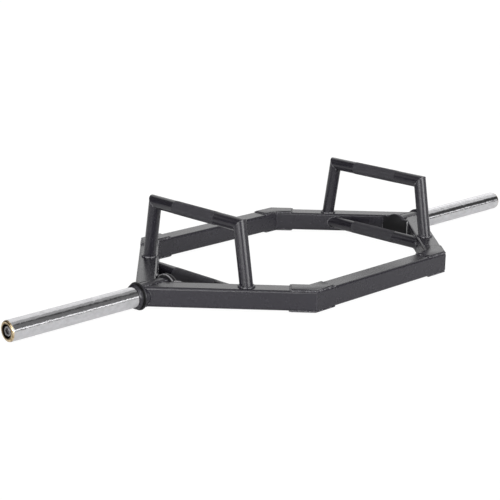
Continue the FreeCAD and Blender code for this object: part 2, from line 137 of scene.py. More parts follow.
def noise(tree, vector, scale, detail=3.0, roughness=0.55):
    node = add_node(tree, "ShaderNodeTexNoise", Scale=scale, Detail=detail, Roughness=roughness)
    tree.links.new(vector, node.inputs["Vector"])
    return node.outputs["Fac"]


def spread(tree, factor, low, high, low_to=0.0, high_to=1.0, interpolation="LINEAR"):
    """Map a factor's range from low to high to a chosen range."""
    node = add_node(tree, "ShaderNodeMapRange", interpolation_type=interpolation)
    for socket, setting in zip(RANGE_SOCKETS, (low, high, low_to, high_to)):
        node.inputs[socket].default_value = setting
    tree.links.new(factor, node.inputs["Value"])
    return node.outputs["Result"]


def blend_colours(tree, factor, first, second):
    """Mix a colour with a second one, which is a colour or the socket that gives it."""
    node = add_node(tree, "ShaderNodeMix", data_type="RGBA")
    node.inputs[MIX_FIRST].default_value = (*first, 1)
    if isinstance(second, tuple):
        node.inputs[MIX_SECOND].default_value = (*second, 1)
    else:
        tree.links.new(second, node.inputs[MIX_SECOND])
    tree.links.new(factor, node.inputs["Factor"])
    return node.outputs[MIX_COLOUR]


def bump(tree, shader, height, strength, distance):
    node = add_node(tree, "ShaderNodeBump", Strength=strength, Distance=distance)
    tree.links.new(height, node.inputs["Height"])
    tree.links.new(node.outputs["Normal"], shader.inputs["Normal"])


def powder_coat(name, dark, light, rough_low, rough_high, gloss_level=0.5, grain=0.015):
    """Satin powder coat: faint clouds in colour and gloss, and a fine orange-peel grain."""
    material, tree, shader = new_material(name)
    place = object_coordinates(tree)
    clouds = spread(tree, noise(tree, place, CLOUD_SCALE, detail=4), NOISE_LOW, NOISE_HIGH)
    tree.links.new(blend_colours(tree, clouds, dark, light), shader.inputs["Base Color"])
    patches = noise(tree, place, GLOSS_SCALE, detail=3)
    gloss = spread(tree, patches, NOISE_LOW, NOISE_HIGH, rough_low, rough_high)
    tree.links.new(gloss, shader.inputs["Roughness"])
    bump(tree, shader, noise(tree, place, GRAIN_SCALE, detail=2), grain, GRAIN_HEIGHT)
    shader.inputs["Specular IOR Level"].default_value = gloss_level
    return material


def weld_coating(name, dark, painted_highlight, rough_low, rough_high, gloss_level, grain):
    """Coat over a weld: glossier, with painted highlights as lighter grey specks along the ripples."""
    material, tree, shader = new_material(name)
    place = object_coordinates(tree)
    specks = spread(tree, noise(tree, place, WELD_SPECK_SCALE, detail=2), WELD_SPECK_LOW, WELD_SPECK_HIGH)
    tree.links.new(blend_colours(tree, specks, dark, painted_highlight), shader.inputs["Base Color"])
    tree.links.new(spread(tree, specks, 0, 1, rough_low, rough_high), shader.inputs["Roughness"])
    bump(tree, shader, noise(tree, place, WELD_GRAIN_SCALE, detail=2), grain, GRAIN_HEIGHT)
    shader.inputs["Specular IOR Level"].default_value = gloss_level
    return material


def from_axis(tree):
    """How far a point is from the bar's axis, in metres."""
    shift = add_node(tree, "ShaderNodeVectorMath", operation="SUBTRACT")
    shift.inputs[1].default_value = (0, 0, AXIS_Z * MM)
    tree.links.new(object_coordinates(tree), shift.inputs[0])
    across = add_node(tree, "ShaderNodeVectorMath", operation="MULTIPLY")
    across.inputs[1].default_value = (0, 1, 1)
    tree.links.new(shift.outputs[0], across.inputs[0])
    reach = add_node(tree, "ShaderNodeVectorMath", operation="LENGTH")
    tree.links.new(across.outputs[0], reach.inputs[0])
    return reach.outputs["Value"]


def plated(name, dark, light, rough_low, rough_high, scale, strength,
           shade_within=None, patchy=0.2, along=1.0):
    """A bare or plated metal: cloudy colour, specks in the gloss and a faint unevenness.

    Painted shade darkens what lies nearer to the bar's axis than the radius given, in millimetres, as in a
    recess. The marks are drawn out along the bar where along is under 1.
    """
    material, tree, shader = new_material(name)
    cloudy = noise(tree, object_coordinates(tree, (along, 1, 1)), scale, detail=4, roughness=0.65)
    marks = spread(tree, cloudy, NOISE_MIDDLE - patchy, NOISE_MIDDLE + patchy)
    colour = blend_colours(tree, marks, dark, light)
    # Painted shade in the recess round the axis.
    if shade_within:
        edge_low = (shade_within - RECESS_SHADE_FADE) * MM
        edge_high = (shade_within + RECESS_SHADE_FADE) * MM
        unshaded = spread(tree, from_axis(tree), edge_low, edge_high)
        colour = blend_colours(tree, unshaded, RECESS_SHADE_COLOUR, colour)
    tree.links.new(colour, shader.inputs["Base Color"])
    specks = noise(tree, object_coordinates(tree), METAL_SPECK_SCALE, detail=3)
    gloss = spread(tree, specks, NOISE_LOW, METAL_SPECK_HIGH, rough_low, rough_high)
    tree.links.new(gloss, shader.inputs["Roughness"])
    bump(tree, shader, marks, strength, METAL_HEIGHT)
    shader.inputs["Metallic"].default_value = 1.0
    return material


coat = powder_coat(
    "satin_black_coat", (0.0144, 0.0132, 0.0180), (0.0164, 0.0151, 0.0205), 0.26, 0.28)
grip_coat = powder_coat(
    "grip_black_coat", (0.0132, 0.0121, 0.0163), (0.0158, 0.0145, 0.0195), 0.24, 0.27)
knurl_coat = powder_coat(
    "knurl_black_coat", (0.0172, 0.0159, 0.0211), (0.0222, 0.0206, 0.0266), 0.40, 0.50)
# Darker and duller than the frame's coat: painted shade in the collar's groove, on the end plates' faces and
# on the left hump's top.
matte_shade_coat = powder_coat(
    "matte_painted_shade_coat", (0.0080, 0.0078, 0.0086), (0.0105, 0.0102, 0.0113), 0.50, 0.60, gloss_level=0.25)
# Lighter than the frame's coat: painted highlight on the corner seams.
seam_highlight_coat = powder_coat(
    "seam_painted_highlight_coat", (0.024, 0.0226, 0.0285), (0.034, 0.032, 0.0395), 0.26, 0.30)
# A light grey coat that paints a highlight on the left end plate's hump edges and on its top bevel beads.
edge_highlight_coat = powder_coat(
    "edge_painted_highlight_coat", (0.15, 0.147, 0.155), (0.26, 0.256, 0.265), 0.25, 0.35)
# A light grey coat for one upright seam bead: a painted highlight.
upright_highlight_coat = powder_coat(
    "upright_painted_highlight_coat", (0.34, 0.34, 0.35), (0.60, 0.60, 0.61), 0.30, 0.40)
# The welds' lighter grey specks are painted highlights.
weld_coat = weld_coating(
    "weld_black_coat", (0.0135, 0.0121, 0.0182), (0.120, 0.117, 0.126), 0.14, 0.24,
    gloss_level=0.8, grain=0.1)
chrome = plated(
    "satin_chrome", (0.57, 0.567, 0.582), (0.70, 0.696, 0.714), 0.06, 0.12, scale=95, strength=0.8,
    along=0.7)
# The brass is darkened within 18.6 mm of the axis: painted shade in its recess.
brass = plated(
    "turned_brass", (0.33, 0.235, 0.115), (0.88, 0.72, 0.49), 0.12, 0.24, scale=180, strength=0.1,
    shade_within=18.6, patchy=0.13)
bronze = plated(
    "bearing_bronze", (0.45, 0.28, 0.12), (0.58, 0.38, 0.18), 0.30, 0.45, scale=200, strength=0.2)
steel = plated(
    "ground_steel", (0.42, 0.42, 0.43), (0.56, 0.56, 0.57), 0.20, 0.35, scale=240, strength=0.2)
zinc = plated(
    "zinc_steel", (0.02, 0.02, 0.022), (0.42, 0.41, 0.42), 0.18, 0.32, scale=130, strength=0.2,
    patchy=0.09)

# Materials by what follows left_ or right_ in a node's name. All other nodes have the frame's coat.
NODE_MATERIALS = {
    "sleeve": chrome,
    "inner_bush": bronze,
    "outer_bush": brass,
    "spindle": steel,
    "thrust_washer": steel,
    "end_washer": zinc,
    "end_bolt": zinc,
}
for node_name, node_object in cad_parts.items():
    node_kind = node_name.split("_", 1)[1]
    node_object.data.materials.clear()
    node_object.data.materials.append(NODE_MATERIALS.get(node_kind, coat))


# Mesh building

# Edges that turn by more than this are sharp.
SHARP_KNURL = math.radians(20)
SHARP_TURNED = math.radians(40)
SHARP_PLATE = math.radians(50)
SHARP_BEAD = math.radians(80)

CIRCLE_STEPS = 72


def new_piece(name, points, faces, material, body="frame", sharp=SHARP_TURNED):
    """A mesh piece from points in millimetres, riding on a body."""
    mesh = bpy.data.meshes.new(name)
    mesh.from_pydata([Vector(point) * MM for point in points], [], faces)
    mesh.validate()
    mesh.polygons.foreach_set("use_smooth", [True] * len(mesh.polygons))
    mesh.set_sharp_from_angle(angle=sharp)
    mesh.materials.append(material)
    piece = bpy.data.objects.new(name, mesh)
    bpy.context.scene.collection.objects.link(piece)
    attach(piece, body)
    return piece


def new_weld(name, points, faces, material=weld_coat):
    new_piece(name, points, faces, material, sharp=SHARP_BEAD)


def band(first, second, count):
    """Faces between two rings of as many points, which start at these numbers."""
    faces = []
    for turn in range(count):
        ahead = (turn + 1) % count
        faces.append((first + turn, first + ahead, second + ahead, second + turn))
    return faces


def flipped(faces):
    return [tuple(reversed(face)) for face in faces]


def circle(count=CIRCLE_STEPS):
    """Angles at an even step round a circle."""
    return [2 * math.pi * number / count for number in range(count)]


def corner(offset, side, edge, along_rail=0.0, along_arm=0.0):
    """A plan point at a corner of the hexagon offset outwards, moved along its rail or its arm."""
    x = RAIL / 2 + offset * math.tan(ARM / 2) - along_rail + along_arm * COS
    y = DEPTH / 2 + offset - along_arm * SIN
    return side * x, edge * y


def signed_area(outline):
    return sum(a[0] * b[1] - b[0] * a[1] for a, b in zip(outline, outline[1:] + outline[:1])) / 2


def inset_outline(outline, inset):
    """The outline moved inwards by a distance (outwards where negative)."""
    moved = []
    count = len(outline)
    turn = 1 if signed_area(outline) > 0 else -1
    for number in range(count):
        before, here, after = (Vector(outline[(number + step) % count]) for step in (-1, 0, 1))
        first = (here - before).normalized()
        second = (after - here).normalized()
        first_in = Vector((-first.y, first.x)) * turn
        second_in = Vector((-second.y, second.x)) * turn
        moved.append(here + (first_in + second_in) * inset / (1 + first_in.dot(second_in)))
    return [(point.x, point.y) for point in moved]


# Weld beads

BEAD_SIDES = 10
BEAD_STEP = 0.8
BEAD_STEPS_LEAST = 4
RIPPLE = 0.16
RIPPLE_PITCH = 2.7
RIPPLE_POWER = 0.7
WANDER = 0.06
WANDER_STEPS = 6
WANDER_SPARE = 3
END_ROUNDING = 1.2
END_SIZE = 0.12
BOX_MARGIN = 0.02
bead_draw = random.Random(7)


def resample(path, closed):
    """Points at an even step along a path of straight runs."""
    path = [Vector(point) for point in path]
    if closed:
        path.append(path[0].copy())
    lengths = [(b - a).length for a, b in zip(path, path[1:])]
    total = sum(lengths)
    count = max(BEAD_STEPS_LEAST, round(total / BEAD_STEP))
    points = []
    run = 0
    passed = 0.0
    for number in range(count if closed else count + 1):
        target = total * number / count
        while run < len(lengths) - 1 and passed + lengths[run] < target:
            passed += lengths[run]
            run += 1
        points.append(path[run].lerp(path[run + 1], (target - passed) / lengths[run]))
    return points


def inside_box(point):
    """The point, pulled back to the solids' box where a bead would pass it."""
    reach = DEPTH / 2 + HALF_TUBE - BOX_MARGIN
    return Vector((point.x, max(-reach, min(reach, point.y)), min(GRIP_TOP, point.z)))


def add_bead(points, faces, path, radius, closed=False, ripple=RIPPLE):
    """Add one weld bead, a rippled tube along a path, to a mesh being built."""
    line = resample(path, closed)
    count = len(line)
    phase = bead_draw.random()
    wander = [bead_draw.uniform(-WANDER, WANDER) for _ in range(count // WANDER_STEPS + WANDER_SPARE)]
    start = len(points)
    side_way = None
    for number, point in enumerate(line):
        before = line[number - 1] if closed or number else line[0]
        after = line[(number + 1) % count] if closed or number < count - 1 else line[-1]
        tangent = (after - before).normalized()
        if side_way is None:
            side_way = tangent.orthogonal().normalized()
        side_way = (side_way - tangent * side_way.dot(tangent)).normalized()
        other_way = tangent.cross(side_way)
        wave = (number * BEAD_STEP / RIPPLE_PITCH + phase) % 1.0
        slow = number / WANDER_STEPS
        drift = wander[int(slow)] * (1 - slow % 1) + wander[int(slow) + 1] * (slow % 1)
        size = radius * (1 + ripple * (abs(2 * wave - 1) ** RIPPLE_POWER - 0.5) + drift)
        if not closed:
            to_end = min(number, count - 1 - number) * BEAD_STEP / (radius * END_ROUNDING)
            size *= math.sqrt(max(END_SIZE, 1 - (1 - min(1.0, to_end)) ** 2))
        for angle in circle(BEAD_SIDES):
            around = side_way * math.cos(angle) + other_way * math.sin(angle)
            points.append(inside_box(point + around * size))
    for number in range(count if closed else count - 1):
        faces += band(start + number * BEAD_SIDES, start + (number + 1) % count * BEAD_SIDES, BEAD_SIDES)
    if not closed:
        last = start + (count - 1) * BEAD_SIDES
        faces.append(tuple(start + turn for turn in reversed(range(BEAD_SIDES))))
        faces.append(tuple(last + turn for turn in range(BEAD_SIDES)))


# Corner plates and corner seams

PLATE_EASE = 0.7
PLATE_EASE_SHARE = 0.25
PLATE_BEAD_R = 2.6
PLATE_BEAD_OUT = 2.1
PLATE_BEAD_SINK = 0.2
PLATE_BEAD_RIPPLE = 0.2
PLATE_CORNER_R = 3.1
PLATE_CORNER_RIPPLE = 0.1
PLATE_CORNER_RUN = 2.5
PLATE_OUTER_CORNERS = (0, 1, 5)
PLATE_QUADS = ((0, 1, 2, 3), (0, 3, 4, 5))

# Each corner's two butt seams: how far out they are, their radius and how far they sink in.
CORNER_SEAMS = ((HALF_TUBE, 3.4, 3.1), (-HALF_TUBE, 2.4, -0.3))
CORNER_SEAM_HALF = 23
CORNER_SEAM_RIPPLE = 0.03


def make_corner_plate(label, side, edge, face):
    """A corner plate with eased edges, in the place of the solid one, and the bead that holds it."""
    level = AXIS_Z + face * HALF_TUBE
    rail_x = corner(PLATE_HALF, 1, 1, along_rail=PLATE_LEG)[0]
    arm_x, arm_y = corner(PLATE_HALF, 1, 1, along_arm=PLATE_LEG)
    width = 2 * PLATE_HALF
    outline = [
        corner(PLATE_HALF, 1, 1), (arm_x, arm_y), (arm_x - width * SIN, arm_y - width * COS),
        corner(-PLATE_HALF, 1, 1), (rail_x, DEPTH / 2 - PLATE_HALF), (rail_x, DEPTH / 2 + PLATE_HALF),
    ]
    partly = PLATE_EASE_SHARE * PLATE_EASE
    rings = ((0, 0), (PLATE_THICK - PLATE_EASE, 0), (PLATE_THICK - partly, partly), (PLATE_THICK, PLATE_EASE))
    points = []
    for height, inset in rings:
        points += [(side * x, edge * y, level + face * height) for x, y in inset_outline(outline, inset)]
    count = len(outline)
    faces = []
    for ring in range(len(rings) - 1):
        faces += band(ring * count, (ring + 1) * count, count)
    faces += flipped(PLATE_QUADS)
    top = (len(rings) - 1) * count
    faces += [tuple(top + turn for turn in quad) for quad in PLATE_QUADS]
    if side * edge * face < 0:
        faces = flipped(faces)
    piece = new_piece(f"{label}_eased", points, faces, coat, sharp=SHARP_PLATE)
    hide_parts(label)
    bead_points = []
    bead_faces = []
    bead_z = level - face * PLATE_BEAD_SINK
    path = [Vector((side * x, edge * y, bead_z)) for x, y in inset_outline(outline, -PLATE_BEAD_OUT)]
    add_bead(bead_points, bead_faces, path, PLATE_BEAD_R, closed=True, ripple=PLATE_BEAD_RIPPLE)
    for number in PLATE_OUTER_CORNERS:
        here = path[number]
        ways = [(path[(number + step) % count] - here).normalized() for step in (-1, 1)]
        bend = [here + ways[0] * PLATE_CORNER_RUN, here, here + ways[1] * PLATE_CORNER_RUN]
        add_bead(bead_points, bead_faces, bend, PLATE_CORNER_R, ripple=PLATE_CORNER_RIPPLE)
    new_weld(f"{label}_weld", bead_points, bead_faces)


def make_corner_seams(label, side, edge):
    """The butt seams where a rail meets an arm: dressed on the outside, a bead on the inside, in a lighter
    coat that paints a highlight.
    """
    points = []
    faces = []
    for offset, radius, inset in CORNER_SEAMS:
        x, y = corner(offset - inset, side, edge)
        path = [(x, y, AXIS_Z + z) for z in (-CORNER_SEAM_HALF, CORNER_SEAM_HALF)]
        add_bead(points, faces, path, radius, ripple=CORNER_SEAM_RIPPLE)
    new_weld(f"{label}_seams", points, faces, seam_highlight_coat)


# Beads at the posts

POST_BEAD_R = 3.2
POST_BEAD_OUT = 1.4
POST_BEAD_LIFT = 0.7
POST_BEAD_RIPPLE = 0.12
MITRE_BEAD_R = 1.4
MITRE_BEAD_SINK = 0.35
MITRE_TOP_SINK = 1.1


def make_post_welds(label, side, edge):
    """The heavy bead round a post's foot and the fine one at its mitre with the raised grip."""
    points = []
    faces = []
    foot = GRIP_R + POST_BEAD_OUT
    long_foot = foot / math.cos(LEAN)
    foot_y = POST_Y - HALF_TUBE * math.tan(LEAN)
    foot_z = AXIS_Z + HALF_TUBE + POST_BEAD_LIFT
    ring = []
    seam = []
    for angle in circle():
        x = GRIP_X + foot * math.cos(angle)
        ring.append((side * x, edge * (foot_y + long_foot * math.sin(angle)), foot_z))
        reach = GRIP_R - MITRE_BEAD_SINK - MITRE_TOP_SINK * max(0.0, math.sin(angle)) ** 2
        rise = reach * math.sin(angle)
        x = GRIP_X + reach * math.cos(angle)
        seam.append((side * x, edge * (GRIP_HALF + rise * MITRE), AXIS_Z + GRIP_RISE + rise))
    add_bead(points, faces, ring, POST_BEAD_R, closed=True, ripple=POST_BEAD_RIPPLE)
    add_bead(points, faces, seam, MITRE_BEAD_R, closed=True)
    new_weld(f"{label}_welds", points, faces)


# Beads at the apexes

UPRIGHT_HALF = 23.5
UPRIGHT_BEAD_R = 2.1
# The thinner upright bead carries a painted highlight.
UPRIGHT_HIGHLIT_R = 1.2
UPRIGHT_BEAD_OUT = 0.7
UPRIGHT_BEAD_IN = 0.2
TOP_BEAD_R = 1.5
TOP_BEAD_LIFT = 0.2
STRIP_BEAD_OUT = 0.3
STRIP_END_GAP = 2
COPE_BEAD_R = 1.1
COPE_BEAD_OUT = 0.8
COPE_BEAD_LIFT = 0.6
COPE_STEPS = 24
LOW_GRIP_BEAD_R = 2.2
LOW_GRIP_BEAD_OUT = 0.7
LOW_GRIP_BEAD_LIFT = 0.5
COLLAR_BEAD_R = 1.3
COLLAR_BEAD_GAP = 2.2
COLLAR_BEAD_STEPS = 96


def make_apex_welds(label, side):
    """Beads at one apex: end plate, hub tube, collar and the low grip's two ends."""
    points = []
    faces = []
    highlight_points = []
    highlight_faces = []
    half_in = (INNER_APEX - END_PLATE_IN) * TAN
    half_out = (INNER_APEX - END_PLATE_OUT) * TAN
    chord = math.sqrt((HUB_R + STRIP_BEAD_OUT) ** 2 - HALF_TUBE ** 2)
    strip_ends = (END_PLATE_OUT + STRIP_END_GAP, OUTER_APEX - chord / TAN - STRIP_END_GAP)
    for edge_name, edge in EDGES:
        seam_points = []
        seam_faces = []
        # The upright seam at the right apex's front is thinner and light grey: a painted highlight.
        bare = (side, edge) == (1, -1)
        x = side * (END_PLATE_IN - UPRIGHT_BEAD_OUT)
        y = edge * (half_in + UPRIGHT_BEAD_IN)
        upright = [(x, y, AXIS_Z + z) for z in (-UPRIGHT_HALF, UPRIGHT_HALF)]
        add_bead(seam_points, seam_faces, upright, UPRIGHT_HIGHLIT_R if bare else UPRIGHT_BEAD_R)
        new_weld(f"{label}_{edge_name}_seam", seam_points, seam_faces, upright_highlight_coat if bare else weld_coat)
        for _, face in FACES:
            top = AXIS_Z + face * (HALF_TUBE + TOP_BEAD_LIFT)
            bevel = [(side * END_PLATE_IN, edge * half_in, top), (side * END_PLATE_OUT, edge * half_out, top)]
            # The beads along the left apex's top bevels carry a painted highlight.
            if (side, face) == (-1, 1):
                add_bead(highlight_points, highlight_faces, bevel, TOP_BEAD_R)
            else:
                add_bead(points, faces, bevel, TOP_BEAD_R)
            strip = [(side * x, edge * (chord + STRIP_BEAD_OUT), top) for x in strip_ends]
            add_bead(points, faces, strip, TOP_BEAD_R)
        cope = []
        for number in range(COPE_STEPS + 1):
            z = -UPRIGHT_HALF + 2 * UPRIGHT_HALF * number / COPE_STEPS
            y = math.sqrt((HUB_R + COPE_BEAD_OUT) ** 2 - z * z)
            cope.append((side * (OUTER_APEX - y / TAN + COPE_BEAD_LIFT), edge * y, AXIS_Z + z))
        add_bead(points, faces, cope, COPE_BEAD_R)
        ring = []
        for angle in circle():
            x = GRIP_X + (GRIP_R + LOW_GRIP_BEAD_OUT) * math.cos(angle)
            y = (INNER_APEX - x) * TAN - LOW_GRIP_BEAD_LIFT
            ring.append((side * x, edge * y, AXIS_Z + (GRIP_R + LOW_GRIP_BEAD_OUT) * math.sin(angle)))
        add_bead(points, faces, ring, LOW_GRIP_BEAD_R, closed=True)
    x = side * (COLLAR_BACK - COLLAR_BEAD_GAP)
    around = [(x, HUB_R * math.cos(angle), AXIS_Z + HUB_R * math.sin(angle))
              for angle in circle(COLLAR_BEAD_STEPS)]
    add_bead(points, faces, around, COLLAR_BEAD_R, closed=True)
    new_weld(f"{label}_apex_welds", points, faces)
    if highlight_points:
        new_weld(f"{label}_bevel_welds", highlight_points, highlight_faces, edge_highlight_coat)


# End plates

HUMP_STEPS = 28
HUMP_FIRST = 3

# How far each ring of an end plate's eased edge is from its face, and how far in from its outline.
END_PLATE_EASE = ((0.0, 2.0), (0.6, 0.6), (2.0, 0.0))
END_PLATE_MIDDLE = 2

# The material slots of an end plate
# Painted shade on the plate's faces, and on the hump's top of a plate with the painted highlight.
SHADE_SLOT = 0
COAT_SLOT = 1
# Painted highlight on the hump's eased edges.
HIGHLIGHT_SLOT = 2


def end_plate_outline(x, inset):
    """The end plate's outline across the bar at a place along it: a box with a round hump on top."""
    half = (INNER_APEX - x) * TAN
    radius = HUMP_R - inset
    level = HALF_TUBE - inset
    start = math.asin(level / radius)
    arc = [start + (math.pi - 2 * start) * number / HUMP_STEPS for number in range(HUMP_STEPS + 1)]
    outline = [(-half, -level), (half, -level), (half, level)]
    outline += [(radius * math.cos(angle), radius * math.sin(angle)) for angle in arc]
    return outline + [(-half, level)]


def make_end_plate(label, side, painted_highlight):
    """An end plate with eased edges, in the place of the solid one, with painted shade on its faces; when
    asked for, a painted highlight on the hump's edges and painted shade on its top.
    """
    rings = [(END_PLATE_IN + depth, inset) for depth, inset in END_PLATE_EASE]
    rings += [(END_PLATE_OUT - depth, inset) for depth, inset in reversed(END_PLATE_EASE)]
    points = []
    for x, inset in rings:
        points += [(side * x, y, AXIS_Z + z) for y, z in end_plate_outline(x, inset)]
    count = len(points) // len(rings)
    bands = len(rings) - 1
    faces = []
    for ring in range(bands):
        faces += band(ring * count, (ring + 1) * count, count)
    faces.append(tuple(reversed(range(count))))
    faces.append(tuple(range(bands * count, len(points))))
    if side > 0:
        faces = flipped(faces)
    piece = new_piece(f"{label}_eased", points, faces, matte_shade_coat, sharp=SHARP_PLATE)
    piece.data.materials.append(coat)
    piece.data.materials.append(edge_highlight_coat)
    for number, polygon in enumerate(piece.data.polygons):
        ring, turn = divmod(number, count)
        on_hump = HUMP_FIRST <= turn < HUMP_FIRST + HUMP_STEPS
        if ring >= bands:
            polygon.material_index = SHADE_SLOT
        elif not (painted_highlight and on_hump):
            polygon.material_index = COAT_SLOT
        # On a plate with the painted highlight, the hump's top gets painted shade and its eased edges a
        # painted highlight.
        elif ring == END_PLATE_MIDDLE:
            polygon.material_index = SHADE_SLOT
        else:
            polygon.material_index = HIGHLIGHT_SLOT
    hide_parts(label)


# Knurled grips

KNURL_COLUMNS = 96
KNURL_HALF = 75.0
KNURL_DEPTH = 0.35
KNURL_SHOULDER = 1.2

# Kinds of station along a grip; a minus sign stands for the front half.
ON_KNURL = 0
AT_SHOULDER = 1
AT_END = 2


def make_grip(label, side, level, end_reach):
    """A grip tube with a diamond-knurled middle. end_reach(x, z) is where its surface ends."""
    pitch = 2 * math.pi * GRIP_R / KNURL_COLUMNS
    rows = round(KNURL_HALF / pitch)
    shoulder = (rows + KNURL_SHOULDER) * pitch
    stations = [(-AT_END, 0.0), (-AT_SHOULDER, 0.0)]
    stations += [(ON_KNURL, row * pitch) for row in range(-rows, rows + 1)]
    stations += [(AT_SHOULDER, 0.0), (AT_END, 0.0)]
    points = []
    for index, (kind, place) in enumerate(stations):
        for column, angle in enumerate(circle(KNURL_COLUMNS)):
            radius = KNURL_R if kind == ON_KNURL else GRIP_R
            if kind == ON_KNURL and (index + column) % 2 == 0:
                radius -= KNURL_DEPTH
            x = radius * math.cos(angle)
            z = radius * math.sin(angle)
            if abs(kind) == AT_END:
                y = math.copysign(end_reach(x, z), kind)
            elif abs(kind) == AT_SHOULDER:
                y = math.copysign(shoulder, kind)
            else:
                y = place
            points.append((side * (GRIP_X + x), y, level + z))
    faces = []
    rough_faces = []
    for index in range(len(stations) - 1):
        knurled = stations[index][0] == ON_KNURL == stations[index + 1][0]
        first = index * KNURL_COLUMNS
        for column, quad in enumerate(band(first, first + KNURL_COLUMNS, KNURL_COLUMNS)):
            if not knurled:
                faces.append(quad)
                continue
            a, b, c, d = quad
            rough_faces += [len(faces), len(faces) + 1]
            if (index + column) % 2 == 0:
                faces += [(a, b, c), (a, c, d)]
            else:
                faces += [(a, b, d), (b, c, d)]
    faces.append(tuple(reversed(range(KNURL_COLUMNS))))
    faces.append(tuple(range(len(points) - KNURL_COLUMNS, len(points))))
    if side > 0:
        faces = flipped(faces)
    piece = new_piece(f"{label}_knurled", points, faces, grip_coat, sharp=SHARP_KNURL)
    piece.data.materials.append(knurl_coat)
    for number in rough_faces:
        piece.data.polygons[number].material_index = 1
    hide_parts(label)


# Turned rings: places along the bar and radii, round the section

TURNED_STEPS = 96
COLLAR_PROFILE = [
    (527.5, 12.6), (543.0, 12.6), (543.0, 25.4), (542.7, 25.9), (538.6, 30.6), (537.9, 30.9), (537.3, 30.6),
    (536.8, 27.2), (532.6, 26.8), (531.3, 27.4), (531.1, 33.4), (530.7, 34.2), (530.0, 34.5), (528.4, 34.5),
    (527.7, 34.2), (527.5, 33.5),
]
# The collar's groove, in the dark matte coat: painted shade.
COLLAR_GAP = range(6, 11)

# The dome on the brass flange, a quarter of an ellipse
DOME_X = 900.8
DOME_R = 16.3
DOME_LENGTH = 3.19
DOME_HEIGHT = 8.2
DOME_STEPS = 10
DOME_ANGLES = [math.pi / 2 * step / DOME_STEPS for step in range(1, DOME_STEPS + 1)]
BUSH_PROFILE = [
    (860.0, 12.55), (890.0, 12.55), (890.0, 15.5), (903.3, 15.5), (903.8, 15.7), (903.99, 16.3),
    *((DOME_X + DOME_LENGTH * math.cos(angle), DOME_R + DOME_HEIGHT * math.sin(angle))
      for angle in DOME_ANGLES),
    (900.0, 24.5), (900.0, 20.9), (860.0, 20.9),
]


def make_turned(label, side, profile, material, body, gap=()):
    """A turned ring with eased edges, in the place of the solid one; its gap is matte and dark, painted
    shade.
    """
    points = []
    faces = []
    for ring, (x, radius) in enumerate(profile):
        for angle in circle(TURNED_STEPS):
            points.append((side * x, radius * math.cos(angle), AXIS_Z + radius * math.sin(angle)))
        faces += band(ring * TURNED_STEPS, (ring + 1) % len(profile) * TURNED_STEPS, TURNED_STEPS)
    if side > 0:
        faces = flipped(faces)
    piece = new_piece(f"{label}_rounded", points, faces, material, body=body)
    if gap:
        piece.data.materials.append(matte_shade_coat)
    for number, polygon in enumerate(piece.data.polygons):
        if number // TURNED_STEPS in gap:
            polygon.material_index = 1
    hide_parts(label)


def raised_end(x, z):
    """Where a raised grip ends: at its mitre with the post."""
    return GRIP_HALF + z * MITRE


def low_end(x, z):
    """Where a low grip ends: at the arm's inner face."""
    return (INNER_APEX - GRIP_X - x) * TAN


for edge_label, edge_sign in EDGES:
    for side_label, side_sign in SIDES:
        quarter = f"{edge_label}_{side_label}"
        for face_label, face_sign in FACES:
            make_corner_plate(f"{quarter}_{face_label}_plate", side_sign, edge_sign, face_sign)
        make_post_welds(f"{quarter}_post", side_sign, edge_sign)
        make_corner_seams(f"{quarter}_corner", side_sign, edge_sign)
for side_label, side_sign in SIDES:
    make_apex_welds(side_label, side_sign)
    # The left end plate's hump carries a painted highlight and painted shade.
    make_end_plate(f"{side_label}_end_plate", side_sign, painted_highlight=side_sign < 0)
    sleeve_body = f"{side_label}_sleeve"
    make_turned(f"{side_label}_outer_bush", side_sign, BUSH_PROFILE, brass, sleeve_body)
    make_turned(f"{side_label}_collar", side_sign, COLLAR_PROFILE, coat, "frame", COLLAR_GAP)
    make_grip(f"{side_label}_raised_grip", side_sign, AXIS_Z + GRIP_RISE, raised_end)
    make_grip(f"{side_label}_low_grip", side_sign, AXIS_Z, low_end)


# Stage, light and camera

FLOOR_REACH = 30.0
FLOOR_COLOUR = (0.82, 0.82, 0.82, 1)
FLOOR_GLOW = 1.06
WHITE = (1, 1, 1, 1)

# How much of the white background shows to the camera's rays, and how much to mirrored rays.
FLOOR_SEEN = (0.92, 0.15)
WORLD_SEEN = (1.0, 0.03)

# Zones of studio light round the object: heading and half width, lowest and highest elevation in degrees,
# and brightness. A zone fades out over a few degrees at its borders.
LIGHT_ZONES = (
    (38, 28, 0, 12, 0.9),
    (46, 30, 13, 34, 0.95),
    (40, 9, 15, 24, 0.75),
    (47, 26, 34, 55, 0.95),
    (198, 22, 0, 9, 12.5),
    (212, 8, 9, 14, 5.0),
    (273, 15, 0, 9, 11.5),
    (183, 17, 9, 30, 2.8),
    (272, 18, 9, 30, 4.5),
    (270, 22, 30, 55, 4.0),
    (2, 18, 22, 40, 0.9),
    (0, 20, 40, 55, 0.36),
    (165, 40, 30, 55, 0.8),
    (308, 15, 13, 55, 0.15),
    (308, 15, 6, 12, 2.3),
    (0, 181, 55, 90, 0.45),
    (216, 9, 28, 48, 4.5),
)
STUDIO_DARK = 0.03
FADE = 5

# Limits that no factor reaches, for a window that stays open at one end.
OPEN_LOW = (-3, -2)
OPEN_HIGH = (2, 3)

# The camera: place in metres, angles in radians, and focal length in pixels of the picture.
PICTURE_PIXELS = 500
CAMERA_FOCAL = 1350.726
CAMERA_PLACE = Vector((-2.50095, -2.36001, 1.02426))
CAMERA_YAW = 0.782713
CAMERA_PITCH = 0.277337
CAMERA_ROLL = 0.012128
SENSOR_WIDTH = 36.0
CAMERA_REACH = 100.0


